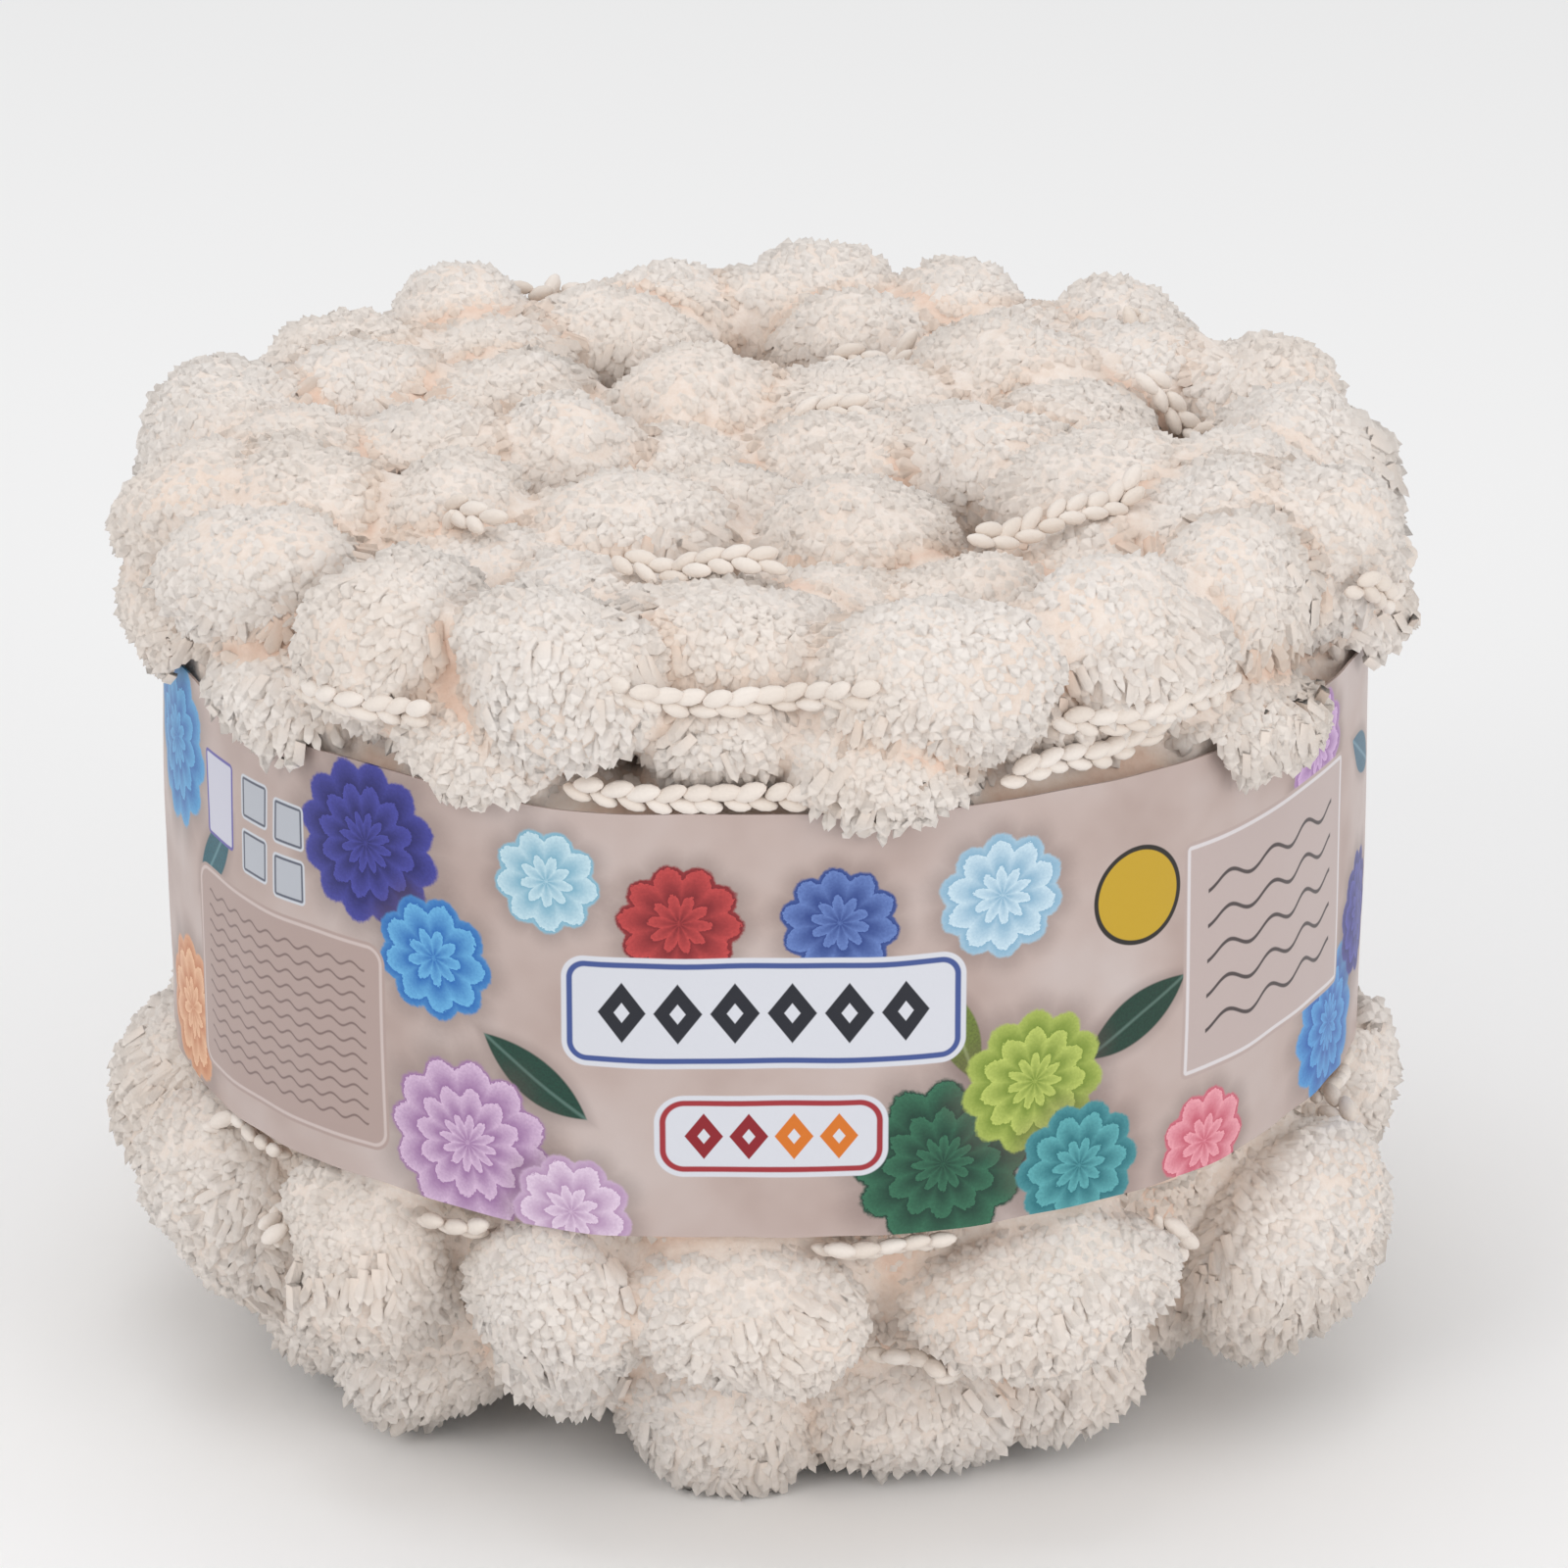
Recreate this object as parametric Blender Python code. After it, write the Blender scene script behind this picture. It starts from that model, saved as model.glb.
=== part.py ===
"""Ball of pom pom yarn: fluffy poms on a chain cord, wound round and round into a squat ball whose waist is held in by a paper band."""

import bmesh
import bpy
import numpy as np

MM = 0.001

# ---- driving dimensions, millimetres ------------------------------------------------
CORE_RADIUS = 77.0  # the packed yarn behind the outermost poms
CORE_BOTTOM = 9.0
CORE_TOP = 118.0
CORE_SQUARENESS = 5.0  # how boxy the packed yarn's section is
SIZE_SPREAD = 0.1  # how much one pom differs from the next
LEAN_SPREAD = 12.0  # degrees a pom leans along its cord

WAIST_RADIUS = 83.7  # yarn pressed in under the band
BAND_RADIUS = 84.0  # inside of the band
BAND_THICK = 1.0
BAND_BOTTOM = 45.5
BAND_TOP = 107.0
BAND_BULGE = 0.5  # how far the band swells over the poms behind it
BAND_EDGE_WAVE = 0.6  # how far its two edges wander
BAND_OVERLAP = 16.0  # degrees over which its two ends lie on each other
BAND_SEAM = 178.0  # bearing of the middle of that overlap
CLEARANCE = 0.3  # between yarn and band
CENTRING = (0.19, 0.683)  # moves the whole ball so that it stands centred

SKIN_STEP = 2.2  # fineness of the merged skin
SKIN_SHARE = 0.083  # share of its facets that is kept
BAND_COLUMNS = 72
BAND_ROWS = 3

# Bearings in degrees from the front, to the right. Sizes are half the pom: along its cord, outwards and upwards.
ROUND_COLUMNS = ("name", "radius", "height", "along", "out", "up", "bearings")
ROUNDS = (
    ("foot", 63.0, 12.0, 14.5, 12.5, 12.5, (-5, 18, 107, 131, 154, 178, -158, -134, -110)),
    ("foot, wide", 66.5, 13.5, 14.0, 12.0, 12.5, (-43, -62, -86, 38)),
    ("foot, raised", 63.5, 19.5, 14.0, 12.5, 11.5, (-24, 60, 84)),
    ("lower, large", 78.0, 32.0, 17.5, 14.5, 13.5, (-1, 28, 141, -165, -112)),
    ("lower, side", 80.0, 33.0, 15.5, 14.5, 14.0, (88, 115, -88, -139)),
    ("lower, sagging", 80.5, 27.5, 18.0, 14.5, 16.0, (62,)),
    ("lower, left", 80.0, 29.5, 17.0, 14.5, 15.0, (-66,)),
    ("lower, small", 78.0, 33.0, 14.5, 14.0, 13.0, (-42, -21, 167)),
    ("overhang", 79.0, 110.5, 14.5, 13.0, 9.5, (-76, -52, -27, 11, 80, 104, 129, 153, 178, -156, -131, -104)),
    ("overhang, low", 79.0, 108.0, 14.5, 13.0, 9.0, (51,)),
    ("tucked behind the cord", 75.0, 115.0, 11.5, 10.5, 9.5, (-4, 28)),
    ("brim, large", 77.5, 121.0, 18.0, 14.0, 12.5, (-20, 17, 72, 120, 176, -104, -84)),
    ("brim, small", 77.0, 121.5, 15.0, 13.5, 12.0, (-60, -39, 38, 55, 98, 140, 157, -167, -146, -126)),
    ("outer top", 65.0, 122.5, 16.5, 13.5, 11.0, (-3, 66, 86, 127, 146, 166, -161, -139, -118, -91, -73)),
    ("middle top", 49.0, 122.5, 17.0, 14.5, 11.0, (-66, -94, -128, 138, 113, 74)),
    ("inner top", 31.0, 122.0, 17.0, 14.5, 11.0, (-38, 24, 98, 155, -160, -100)),
    ("sunken top", 53.0, 119.0, 16.5, 14.0, 10.5, (-46, -22, 7, 31, 52)),
    ("hollow top", 14.0, 119.0, 15.5, 14.0, 10.5, (-10, 130, -130)),
    ("outer under", 45.0, 13.0, 15.0, 12.5, 13.5, (-20, 24, 66, 106, 145, -172, -132, -95, -57)),
    ("inner under", 24.0, 13.5, 13.5, 12.0, 13.0, (10, 82, 154, -134, -62)),
    ("middle of under", 0.0, 12.0, 14.0, 14.0, 14.0, (0,)),
)


def poms():
    """Centre, three axes and three half sizes of every pom."""
    chance = np.random.RandomState(34)
    found = []
    for row in ROUNDS:
        r = dict(zip(ROUND_COLUMNS, row))
        for bearing in r["bearings"]:
            turn = np.radians(bearing)
            outward = np.array([np.sin(turn), -np.cos(turn), 0.0])
            along = np.array([np.cos(turn), np.sin(turn), 0.0])
            upward = np.array([0.0, 0.0, 1.0])
            lean = np.radians(LEAN_SPREAD) * chance.uniform(-1, 1)
            tangent = np.cos(lean) * along + np.sin(lean) * upward
            rise = np.cos(lean) * upward - np.sin(lean) * along
            grow = 1.0 + SIZE_SPREAD * chance.uniform(-1, 1, 3)
            centre = outward * r["radius"] + upward * r["height"]
            half = np.array([r["along"], r["out"], r["up"]]) * grow
            found.append((centre, np.array([tangent, outward, rise]), half))
    return found


def sphere():
    """Corners and faces of a ball of radius 1, from a subdivided icosahedron."""
    work = bmesh.new()
    bmesh.ops.create_icosphere(work, subdivisions=3, radius=1.0)
    points = np.array([v.co[:] for v in work.verts])
    faces = [[v.index for v in f.verts] for f in work.faces]
    work.free()
    return points, faces


def new_object(name, points, faces, colour, roughness):
    mesh = bpy.data.meshes.new(name)
    mesh.from_pydata([tuple(p) for p in np.asarray(points) * MM], [], faces)
    work = bmesh.new()
    work.from_mesh(mesh)
    bmesh.ops.recalc_face_normals(work, faces=work.faces)
    bmesh.ops.triangulate(work, faces=work.faces)
    work.to_mesh(mesh)
    work.free()
    material = bpy.data.materials.new(name)
    material.use_nodes = True
    shader = material.node_tree.nodes["Principled BSDF"]
    shader.inputs["Base Color"].default_value = (*colour, 1.0)
    shader.inputs["Roughness"].default_value = roughness
    mesh.materials.append(material)
    thing = bpy.data.objects.new(name, mesh)
    thing.location = (CENTRING[0] * MM, CENTRING[1] * MM, 0.0)
    bpy.context.scene.collection.objects.link(thing)
    return thing


def yarn():
    """The wound yarn: every pom and the packed yarn behind them, merged into one skin, the lowest poms flattened by the floor."""
    unit, unit_faces = sphere()
    points, faces = [], []
    for centre, axes, half in poms():
        start = len(points)
        points.extend(centre + (unit * half) @ axes)
        faces.extend([[start + k for k in face] for face in unit_faces])
    # packed yarn: a squat body of rounded section, and the waist the band holds
    across = np.hypot(unit[:, 0], unit[:, 1])
    for radius, bottom, top, square in (
        (CORE_RADIUS, CORE_BOTTOM, CORE_TOP, CORE_SQUARENESS),
        (WAIST_RADIUS + 1.5, BAND_BOTTOM - 5.0, BAND_TOP + 4.0, 2 * CORE_SQUARENESS),
    ):
        start = len(points)
        size = (across**square + np.abs(unit[:, 2]) ** square) ** (-1 / square)
        body = unit * size[:, None] * np.array([radius, radius, (top - bottom) / 2])
        points.extend(body + np.array([0.0, 0.0, (top + bottom) / 2]))
        faces.extend([[start + k for k in face] for face in unit_faces])
    thing = new_object("pompom_yarn", points, faces, (0.76, 0.66, 0.58), 0.9)
    merge = thing.modifiers.new("one skin", "REMESH")
    merge.mode = "VOXEL"
    merge.voxel_size = SKIN_STEP * MM
    soften = thing.modifiers.new("soft creases", "SMOOTH")
    soften.factor = 0.5
    soften.iterations = 2
    fewer = thing.modifiers.new("fewer facets", "DECIMATE")
    fewer.decimate_type = "COLLAPSE"
    fewer.ratio = SKIN_SHARE
    fewer.use_collapse_triangulate = True
    return thing


def ring(name, inner, outer, bottom, top, columns):
    """A plain ring of square section."""
    points, faces = [], []
    for i in range(columns):
        turn = 2 * np.pi * i / columns
        for radius, level in ((inner, bottom), (outer, bottom), (outer, top), (inner, top)):
            points.append((radius * np.sin(turn), -radius * np.cos(turn), level))
    for i in range(columns):
        a, b = 4 * i, 4 * ((i + 1) % columns)
        for k in range(4):
            faces.append([a + k, b + k, b + (k + 1) % 4, a + (k + 1) % 4])
    return new_object(name, points, faces, (0.5, 0.5, 0.5), 0.5)


def slab(name, reach, depth):
    """A block whose top is the floor."""
    points = [(x, y, z) for z in (-depth, 0.0) for x, y in ((-reach, -reach), (reach, -reach), (reach, reach), (-reach, reach))]
    faces = [[0, 1, 2, 3], [4, 5, 6, 7]] + [[k, (k + 1) % 4, 4 + (k + 1) % 4, 4 + k] for k in range(4)]
    return new_object(name, points, faces, (0.5, 0.5, 0.5), 0.5)


def band_wave(turn):
    """Two soft waves round the band, between 0 and 1."""
    return 0.5 + 0.25 * np.sin(7 * turn + 0.6) + 0.25 * np.sin(11 * turn + 2.1)


def band():
    """The paper band: a strip once round the waist, its ends glued over each other at the back."""
    points, faces = [], []
    count = BAND_ROWS + 1
    for i in range(BAND_COLUMNS):
        turn = 2 * np.pi * i / BAND_COLUMNS
        behind = abs((np.degrees(turn) - BAND_SEAM + 180) % 360 - 180)
        thick = BAND_THICK * (2.0 if behind < BAND_OVERLAP / 2 else 1.0)
        lift = BAND_EDGE_WAVE * (band_wave(turn) - 0.5) * 2
        ring_points = []
        for part in np.linspace(0, 1, count):
            swell = BAND_BULGE * band_wave(turn + 0.2) * np.sin(np.pi * part)
            level = BAND_BOTTOM + BAND_EDGE_WAVE + lift + (BAND_TOP - BAND_BOTTOM - 2 * BAND_EDGE_WAVE) * part
            ring_points.append((BAND_RADIUS + swell, level, thick))
        for radius, level, extra in ring_points:
            points.append(((radius + extra) * np.sin(turn), -(radius + extra) * np.cos(turn), level))
        for radius, level, extra in reversed(ring_points):
            points.append((radius * np.sin(turn), -radius * np.cos(turn), level))
    loop = 2 * count
    for i in range(BAND_COLUMNS):
        a, b = loop * i, loop * ((i + 1) % BAND_COLUMNS)
        for k in range(loop):
            faces.append([a + k, b + k, b + (k + 1) % loop, a + (k + 1) % loop])
    return new_object("paper_band", points, faces, (0.58, 0.46, 0.41), 0.55)


for old in list(bpy.data.objects):
    bpy.data.objects.remove(old, do_unlink=True)

ball = yarn()
paper = band()

# room for the band: a flat-sided ring, its corners outside the true radii
COLUMNS = 72
SLACK = 1.0 / np.cos(np.pi / COLUMNS)
room = ring(
    "band_room",
    WAIST_RADIUS,
    (BAND_RADIUS + BAND_BULGE + 2 * BAND_THICK + CLEARANCE) * SLACK,
    BAND_BOTTOM - CLEARANCE,
    BAND_TOP + CLEARANCE,
    COLUMNS,
)
floor = slab("floor", 150.0, 40.0)
for name, cutter in (("room for the band", room), ("flat where it rests", floor)):
    cutter.hide_render = True
    cutter.display_type = "WIRE"
    cut = ball.modifiers.new(name, "BOOLEAN")
    cut.operation = "DIFFERENCE"
    cut.solver = "EXACT"
    cut.object = cutter
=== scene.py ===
"""Looks of the pom pom yarn ball: every pom as hundreds of soft cut tufts, the chain cord between them, and the printed paper band round the waist."""

import math

import bmesh
import bpy
import numpy as np
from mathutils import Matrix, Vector
from mathutils.bvhtree import BVHTree
from mathutils.kdtree import KDTree


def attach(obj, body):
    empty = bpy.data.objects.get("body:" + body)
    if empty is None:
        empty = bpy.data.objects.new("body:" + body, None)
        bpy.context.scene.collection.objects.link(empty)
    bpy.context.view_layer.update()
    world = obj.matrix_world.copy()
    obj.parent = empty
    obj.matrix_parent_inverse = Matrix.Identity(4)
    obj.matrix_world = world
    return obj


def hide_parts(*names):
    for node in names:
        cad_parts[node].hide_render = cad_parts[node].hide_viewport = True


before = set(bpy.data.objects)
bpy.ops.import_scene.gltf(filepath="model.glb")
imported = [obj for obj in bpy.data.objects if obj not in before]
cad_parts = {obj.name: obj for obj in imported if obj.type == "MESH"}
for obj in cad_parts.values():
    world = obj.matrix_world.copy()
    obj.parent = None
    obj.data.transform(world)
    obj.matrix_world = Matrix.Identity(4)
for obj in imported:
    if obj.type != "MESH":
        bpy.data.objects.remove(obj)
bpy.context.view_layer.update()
MM = 0.001
chance = np.random.RandomState(834)

# ---- the ball, millimetres: the same sizes and rounds as its solids -----------------
CORE_RADIUS = 77.0
CORE_BOTTOM = 9.0
CORE_TOP = 118.0
CORE_SQUARENESS = 5.0
SIZE_SPREAD = 0.1
LEAN_SPREAD = 12.0
WAIST_RADIUS = 83.7
BAND_RADIUS = 84.0
BAND_THICK = 1.0
BAND_BOTTOM = 45.5
BAND_TOP = 107.0
BAND_BULGE = 0.5
BAND_EDGE_WAVE = 0.6
BAND_OVERLAP = 16.0
BAND_SEAM = 178.0
CLEARANCE = 0.3
CENTRING = (0.19, 0.683)

ROUND_COLUMNS = ("name", "radius", "height", "along", "out", "up", "bearings")
ROUNDS = (
    ("foot", 63.0, 12.0, 14.5, 12.5, 12.5, (-5, 18, 107, 131, 154, 178, -158, -134, -110)),
    ("foot, wide", 66.5, 13.5, 14.0, 12.0, 12.5, (-43, -62, -86, 38)),
    ("foot, raised", 63.5, 19.5, 14.0, 12.5, 11.5, (-24, 60, 84)),
    ("lower, large", 78.0, 32.0, 17.5, 14.5, 13.5, (-1, 28, 141, -165, -112)),
    ("lower, side", 80.0, 33.0, 15.5, 14.5, 14.0, (88, 115, -88, -139)),
    ("lower, sagging", 80.5, 27.5, 18.0, 14.5, 16.0, (62,)),
    ("lower, left", 80.0, 29.5, 17.0, 14.5, 15.0, (-66,)),
    ("lower, small", 78.0, 33.0, 14.5, 14.0, 13.0, (-42, -21, 167)),
    ("overhang", 79.0, 110.5, 14.5, 13.0, 9.5, (-76, -52, -27, 11, 80, 104, 129, 153, 178, -156, -131, -104)),
    ("overhang, low", 79.0, 108.0, 14.5, 13.0, 9.0, (51,)),
    ("tucked behind the cord", 75.0, 115.0, 11.5, 10.5, 9.5, (-4, 28)),
    ("brim, large", 77.5, 121.0, 18.0, 14.0, 12.5, (-20, 17, 72, 120, 176, -104, -84)),
    ("brim, small", 77.0, 121.5, 15.0, 13.5, 12.0, (-60, -39, 38, 55, 98, 140, 157, -167, -146, -126)),
    ("outer top", 65.0, 122.5, 16.5, 13.5, 11.0, (-3, 66, 86, 127, 146, 166, -161, -139, -118, -91, -73)),
    ("middle top", 49.0, 122.5, 17.0, 14.5, 11.0, (-66, -94, -128, 138, 113, 74)),
    ("inner top", 31.0, 122.0, 17.0, 14.5, 11.0, (-38, 24, 98, 155, -160, -100)),
    ("sunken top", 53.0, 119.0, 16.5, 14.0, 10.5, (-46, -22, 7, 31, 52)),
    ("hollow top", 14.0, 119.0, 15.5, 14.0, 10.5, (-10, 130, -130)),
    ("outer under", 45.0, 13.0, 15.0, 12.5, 13.5, (-20, 24, 66, 106, 145, -172, -132, -95, -57)),
    ("inner under", 24.0, 13.5, 13.5, 12.0, 13.0, (10, 82, 154, -134, -62)),
    ("middle of under", 0.0, 12.0, 14.0, 14.0, 14.0, (0,)),
)


def poms():
    """Round, centre, three axes and three half sizes of every pom."""
    dice = np.random.RandomState(34)
    found = []
    for row in ROUNDS:
        r = dict(zip(ROUND_COLUMNS, row))
        for bearing in r["bearings"]:
            turn = np.radians(bearing)
            outward = np.array([np.sin(turn), -np.cos(turn), 0.0])
            along = np.array([np.cos(turn), np.sin(turn), 0.0])
            upward = np.array([0.0, 0.0, 1.0])
            lean = np.radians(LEAN_SPREAD) * dice.uniform(-1, 1)
            tangent = np.cos(lean) * along + np.sin(lean) * upward
            rise = np.cos(lean) * upward - np.sin(lean) * along
            grow = 1.0 + SIZE_SPREAD * dice.uniform(-1, 1, 3)
            centre = outward * r["radius"] + upward * r["height"]
            half = np.array([r["along"], r["out"], r["up"]]) * grow
            found.append((r["name"], centre, np.array([tangent, outward, rise]), half))
    return found


POMS = poms()


# ---- meshes ---------------------------------------------------------------------------
def mesh_object(name, points, triangles, material, smooth=True, values=None, normals=None):
    """A mesh of triangles from arrays in millimetres, with named values at its corners."""
    mesh = bpy.data.meshes.new(name)
    points = np.asarray(points, np.float64) * MM
    triangles = np.asarray(triangles, np.int32)
    mesh.vertices.add(len(points))
    mesh.vertices.foreach_set("co", points.astype(np.float32).ravel())
    mesh.loops.add(triangles.size)
    mesh.loops.foreach_set("vertex_index", triangles.ravel())
    mesh.polygons.add(len(triangles))
    mesh.polygons.foreach_set("loop_start", np.arange(0, triangles.size, 3, dtype=np.int32))
    mesh.polygons.foreach_set("use_smooth", np.full(len(triangles), smooth))
    mesh.update(calc_edges=True)
    mesh.validate()
    for key, numbers in (values or {}).items():
        mesh.attributes.new(key, "FLOAT", "POINT").data.foreach_set("value", np.asarray(numbers, np.float32).ravel())
    mesh.materials.append(material)
    if normals is not None:
        mesh.normals_split_custom_set_from_vertices(np.asarray(normals, np.float32))
    thing = bpy.data.objects.new(name, mesh)
    thing.location = (CENTRING[0] * MM, CENTRING[1] * MM, 0.0)
    bpy.context.scene.collection.objects.link(thing)
    return thing


def unit(v):
    return v / np.maximum(np.linalg.norm(v, axis=-1, keepdims=True), 1e-9)


def inside_pom(points, pom, share):
    """Which points lie within that share of a pom's size."""
    _, centre, axes, half = pom
    return ((((points - centre) @ axes.T) / (half * share)) ** 2).sum(1) < 1.0


def inside_core(points, shrink=0.0):
    middle, half_height = (CORE_TOP + CORE_BOTTOM) / 2, (CORE_TOP - CORE_BOTTOM) / 2
    across = np.hypot(points[:, 0], points[:, 1]) / (CORE_RADIUS - shrink)
    level = np.abs(points[:, 2] - middle) / (half_height - shrink)
    return across**CORE_SQUARENESS + level**CORE_SQUARENESS < 1.0


def in_band_room(points, below=0.6, above=0.5, inner=82.8, outer=86.6):
    across = np.hypot(points[:, 0], points[:, 1])
    return (across > inner) & (across < outer) & (points[:, 2] > BAND_BOTTOM - below) & (points[:, 2] < BAND_TOP + above)


def reach(origins, directions, share=1.0):
    """How far along each direction the outermost skin of the poms lies; negative where it's behind."""
    best = np.full(len(origins), -1e9)
    for _, centre, axes, half in POMS:
        near = np.linalg.norm(origins - centre, axis=1) < 60
        if not near.any():
            continue
        o = ((origins[near] - centre) @ axes.T) / (half * share)
        d = (directions[near] @ axes.T) / (half * share)
        a, b, c = (d * d).sum(1), (o * d).sum(1), (o * o).sum(1) - 1.0
        root = b * b - a * c
        t = np.where(root > 0, (-b + np.sqrt(np.maximum(root, 0))) / a, -1e9)
        best[near] = np.maximum(best[near], t)
    return best


# a tuft: share of its length and of its width at each ring, between its base and its tip
TUFT_RINGS = ((0.0, 0.9), (0.79, 1.0))


def tuft_shape(sides):
    """Points along (t, angle, width) and triangles of one tuft: a closed base, its rings and a tip point."""
    spots = [(t, 2 * math.pi * k / sides, width) for t, width in TUFT_RINGS for k in range(sides)]
    spots.append((1.0, 0.0, 0.0))
    faces = [(0, k + 1, k) for k in range(1, sides - 1)]
    last = (len(TUFT_RINGS) - 1) * sides
    for k in range(sides):
        j = (k + 1) % sides
        for a in range(0, last, sides):
            faces.append((a + k, a + j, a + sides + j))
            faces.append((a + k, a + sides + j, a + sides + k))
        faces.append((last + k, last + j, len(spots) - 1))
    return np.array(spots), np.array(faces)


def tufts(root, tip, width, bend, tone, hollow_shade, swell, sides):
    """All tufts at once, from the root and tip of each, its width, bend and tone, the painted shade of the hollow it
    stands in, and the way its pom's surface faces there.
    """
    spots, faces = tuft_shape(sides)
    n = len(root)
    axis = tip - root
    length = np.linalg.norm(axis, axis=1, keepdims=True)
    axis = axis / length
    helper = np.where(np.abs(axis[:, 2:3]) < 0.9, np.array([[0, 0, 1.0]]), np.array([[1.0, 0, 0]]))
    side = unit(np.cross(axis, helper))
    other = np.cross(axis, side)
    spin = chance.uniform(0, 2 * math.pi, n)[:, None]
    side, other = np.cos(spin) * side + np.sin(spin) * other, -np.sin(spin) * side + np.cos(spin) * other
    flat = chance.uniform(0.72, 1.0, n)[:, None, None]
    t = spots[:, 0][None, :, None]
    a = spots[:, 1][None, :, None]
    w = spots[:, 2][None, :, None] * width[:, None, None] / 2
    points = root[:, None, :] + t * (axis * length)[:, None, :]
    points = points + w * (np.cos(a) * side[:, None, :] + flat * np.sin(a) * other[:, None, :])
    points = points + (t**2) * bend[:, None, :]
    # soft pile takes light as one surface: each tuft's own roundness is eased towards its pom's
    round_way = np.cos(a) * side[:, None, :] + np.sin(a) * other[:, None, :]
    own = np.where(t > 0.99, axis[:, None, :], unit(round_way + np.where(t > 0.5, 0.55, -0.3) * axis[:, None, :]))
    facing = unit((1 - EASE) * own + EASE * swell[:, None, :])
    triangles = faces[None, :, :] + (np.arange(n) * len(spots))[:, None, None]
    return (
        points.reshape(-1, 3),
        triangles.reshape(-1, 3),
        # painted shade: the colour darkens towards each tuft's root and in the hollows between poms
        np.clip(1.0 - 0.35 * (1 - spots[:, 0])[None, :] - 0.5 * hollow_shade[:, None], 0, 1).ravel(),
        np.repeat(tone, len(spots)),
        facing.reshape(-1, 3),
    )


TUFT_ROOM = 1.62  # square millimetres of surface for each tuft
TUFT_LENGTH = 4.2
TUFT_WIDTH = (2.2, 1.95)  # on top of a pom and beneath it
TUFT_LIE = (0.42, 0.44)  # how far tufts lie down the pom instead of standing out from it
EASE = 0.62  # how far a tuft's shading follows its pom's surface
GROUND_DEPTH = (0.45, 0.8)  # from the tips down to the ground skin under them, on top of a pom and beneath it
UNDER_ROOM = 1.45  # how much more room each tuft has on the underside
TUFT_REACH = 1.9  # skin further than this from every tip is bare
HOLLOW = 1.5  # how far the painted shade of a hollow spreads
FILLET = 0.88  # for each millimetre: how closely the crease between two poms follows both
CLUMPS = ((5, 0.15, 0.26, 0.62), (15, 0.35, 0.22, 0.38), (52, 0.6, 0.24, 0.22))  # how many, how far tufts lean together, how far it stands out, and its half width


def lumps(directions, index):
    """How far a pom's skin stands out from its plain oval in each direction, as a share of its size, and how its tufts lean."""
    dice = np.random.RandomState(900 + index)
    _, _, axes, half = POMS[index]
    lean, swell = np.zeros(directions.shape), np.zeros(len(directions))
    for count, strength, rise, at in CLUMPS:
        clumps = unit(dice.normal(0, 1, (count, 3)))
        near = (directions @ clumps.T).argmax(1)
        away = clumps[near] - directions
        swell = swell + rise * (at - np.linalg.norm(away, axis=1))
        lean = lean + strength * (away * half) @ axes / half.mean()
    for _ in range(3):
        swell = swell + 0.03 * np.sin(directions @ unit(dice.normal(0, 1, 3)) * 3.6 + dice.uniform(0, 6.28))
    return np.clip(swell, -0.22, 0.11), lean


def crease(points, index):
    """How far the skin of a pom is lifted, in millimetres, where it meets its neighbours."""
    _, centre, _, half = POMS[index]
    total = np.ones(len(points))
    for other, (_, middle, axes, size) in enumerate(POMS):
        if other != index and np.linalg.norm(middle - centre) < 42:
            q = ((points - middle) @ axes.T) / size
            apart = (np.linalg.norm(q, axis=1) - 1.0) * size.mean()
            total = total + np.exp(-FILLET * np.maximum(apart, -1.0))
    return np.log(total) / FILLET


def hollow(points, index):
    """How deep in the hollow beside its neighbours each point of a pom lies, from 0 in the open to 1."""
    centre, half = POMS[index][1], POMS[index][3]
    total = np.zeros(len(points))
    for other, (_, middle, axes, size) in enumerate(POMS):
        if other != index and np.linalg.norm(middle - centre) < 45:
            q = ((points - middle) @ axes.T) / size
            apart = (np.linalg.norm(q, axis=1) - 1.0) * size.mean()
            total = total + np.exp(-np.maximum(apart, 0.0) / HOLLOW)
    return np.clip(total, 0, 1) ** 1.6


def scattered(n):
    """Directions spread evenly over a ball, a little shaken."""
    k = np.arange(n) + 0.5
    polar = np.arccos(1 - 2 * k / n)
    turn = math.pi * (1 + 5**0.5) * k + chance.uniform(0, 6.28)
    d = np.stack([np.cos(polar), np.cos(turn) * np.sin(polar), np.sin(turn) * np.sin(polar)], 1)
    return unit(d + chance.normal(0, 0.035, d.shape))


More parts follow.
